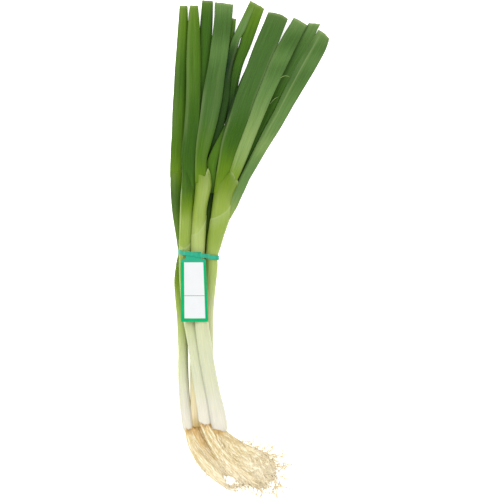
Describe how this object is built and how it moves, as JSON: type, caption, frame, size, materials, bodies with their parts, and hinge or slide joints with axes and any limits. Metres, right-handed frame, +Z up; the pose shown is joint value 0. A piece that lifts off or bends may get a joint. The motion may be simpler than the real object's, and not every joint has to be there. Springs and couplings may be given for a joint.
{
  "type": "spring onion bunch",
  "caption": "Bunch of fresh spring onions with pale bulbs, root tufts and cut hollow leaves, lying flat, tied by a band with a blank tag.",
  "frame": {"origin": "middle of the band's flat underside, on the surface that the bunch lies on", "axes": "+Z up from the surface, +Y along the bunch from the roots to the leaf tips, +X across it to the side the leaves fan towards"},
  "size_m": [0.1578, 0.4976, 0.0272],
  "materials": {
    "shank": "fresh onion stem, white at the bulb turning pale green upwards, waxy satin with fine lengthwise veins",
    "leaf": "onion leaf, bluish to yellowish green with a waxy bloom and fine lengthwise veins",
    "roots": "thin dry cream roots, browner at the crown",
    "band": "flat green elastic band, smooth satin",
    "tag": "thin printed tag, white panel in a green border, blank"
  },
  "bodies": {
    "root": {"shank_a": "shank", "shank_b": "shank", "shank_c": "shank", "shank_d": "shank", "shank_e": "shank", "leaf_a1": "leaf", "leaf_b1": "leaf", "leaf_b2": "leaf", "leaf_b3": "leaf", "leaf_c1": "leaf", "leaf_c2": "leaf", "leaf_d1": "leaf", "leaf_d2": "leaf", "leaf_e1": "leaf", "leaf_e2": "leaf", "leaf_e3": "leaf", "leaf_e4": "leaf", "roots_a": "roots", "roots_b": "roots", "roots_c": "roots", "roots_d": "roots", "roots_e": "roots", "tag_band": "band", "tag_label": "tag"}
  },
  "joints": []
}
